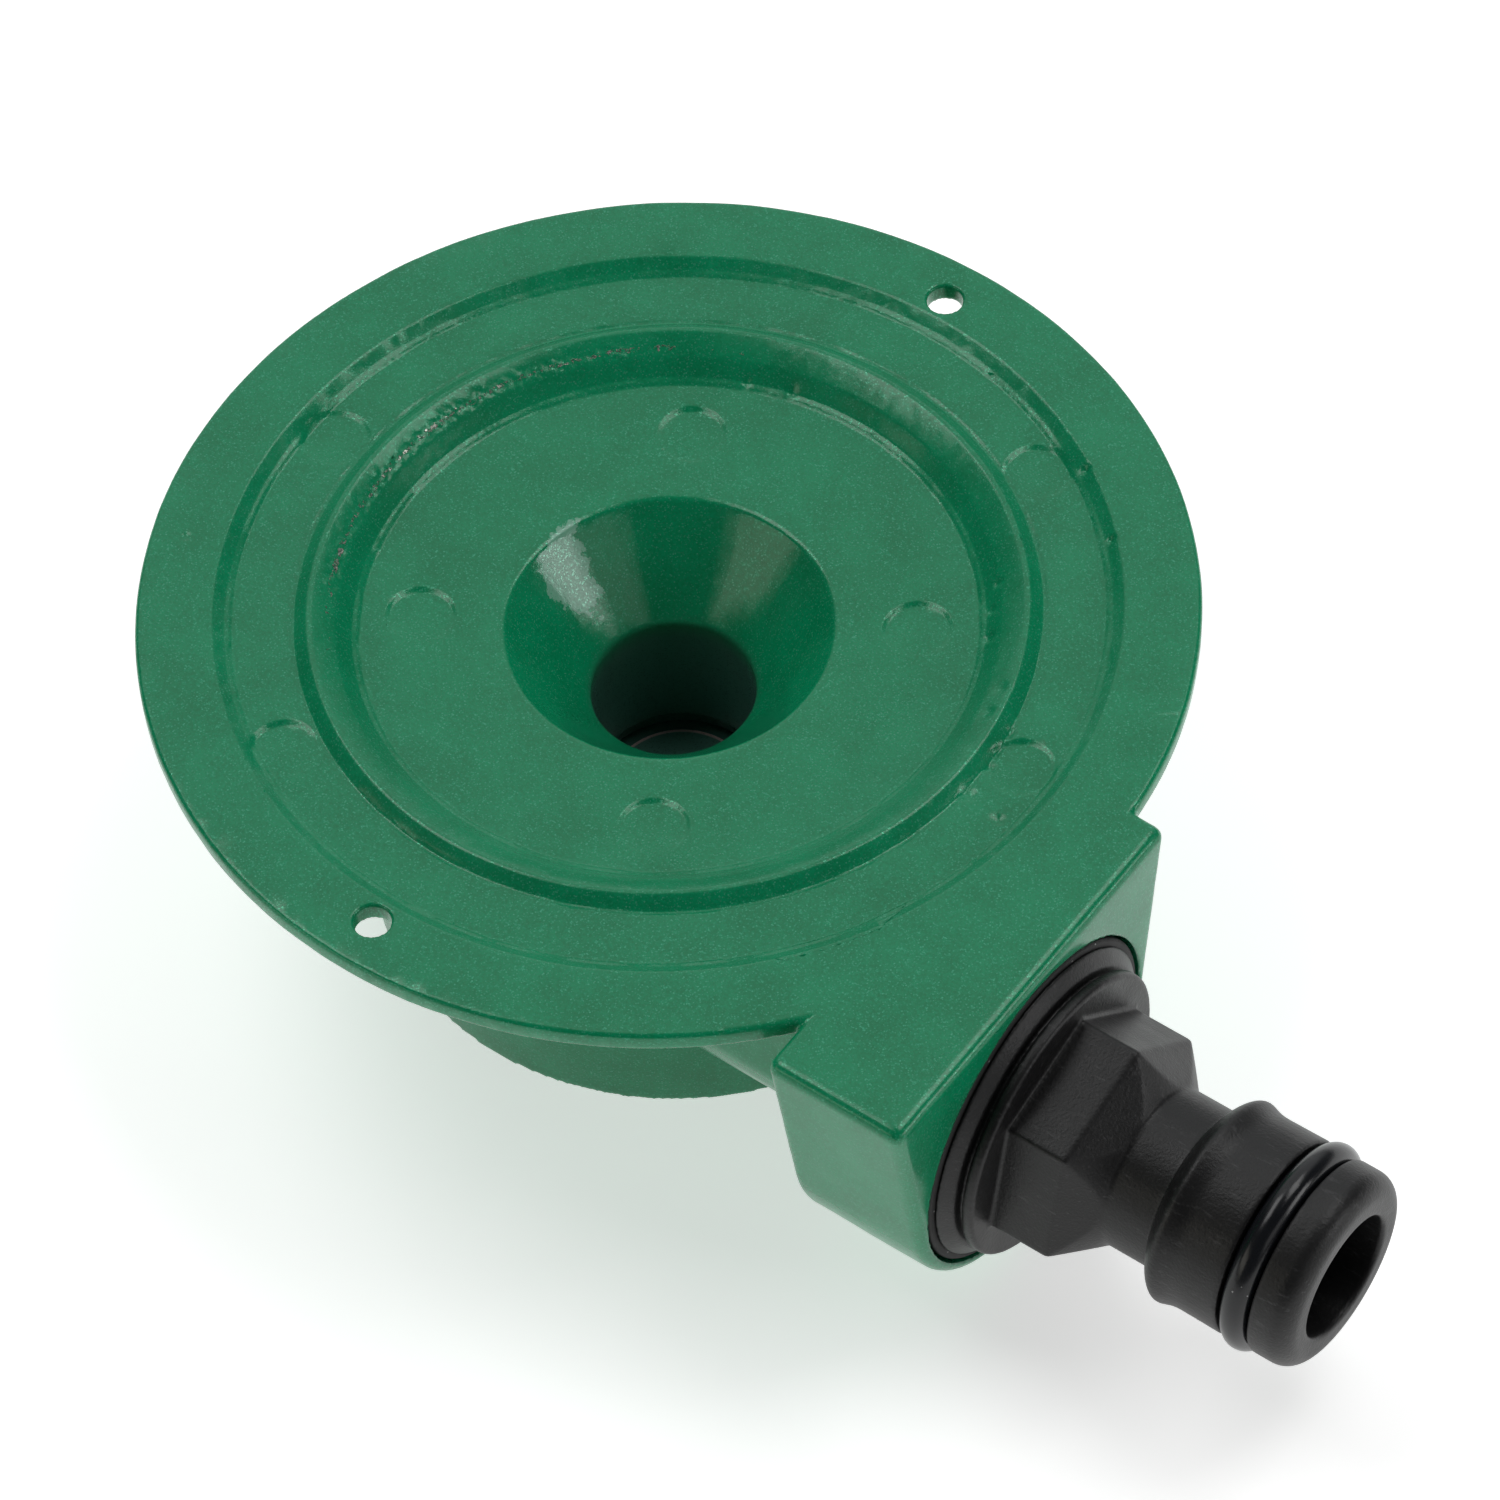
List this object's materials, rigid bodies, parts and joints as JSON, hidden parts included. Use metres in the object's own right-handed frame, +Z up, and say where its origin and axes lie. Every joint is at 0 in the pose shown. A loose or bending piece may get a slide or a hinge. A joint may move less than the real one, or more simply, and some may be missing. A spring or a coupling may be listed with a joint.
{
  "type": "vortex garden sprinkler head",
  "caption": "Round dished sprinkler head with a central swirl outlet, a skirted chamber below it and a screwed-in quick-coupling hose connector on one side.",
  "frame": {"origin": "on the disc's axis, in the plane that the skirt stands on", "axes": "+Z up along the disc's axis; +X along the hose connector, out of the inlet port"},
  "size_m": [0.1098, 0.08, 0.0305],
  "materials": {
    "flecked_green_coat": "green gloss powder coat with fine metal flecks over a die casting",
    "black_plastic": "satin moulded black plastic with a fine grain",
    "seal_rubber": "glossy greased black rubber",
    "washer_rubber": "matt black rubber"
  },
  "bodies": {
    "sprinkler": {"body_casting": "flecked_green_coat", "bottom_cover": "flecked_green_coat", "cover_seal": "seal_rubber"},
    "washer": {"port_washer": "washer_rubber"},
    "connector": {"hose_connector": "black_plastic", "stem_o_ring": "seal_rubber"}
  },
  "joints": [
    {"name": "washer_slide", "type": "slide", "parent": "sprinkler", "child": "washer", "axis": [1, 0, 0], "range_m": [0, 0.01]},
    {"name": "connector_turn", "type": "hinge", "parent": "washer", "child": "connector", "pos_m": [0.0425, -0.0132, 0.0155], "axis": [1, 0, 0], "range_deg": [0, 1980]}
  ],
  "couplings": [
    {"joint": "washer_slide", "follows": "connector_turn", "m_per_rad": 0.00028871}
  ]
}
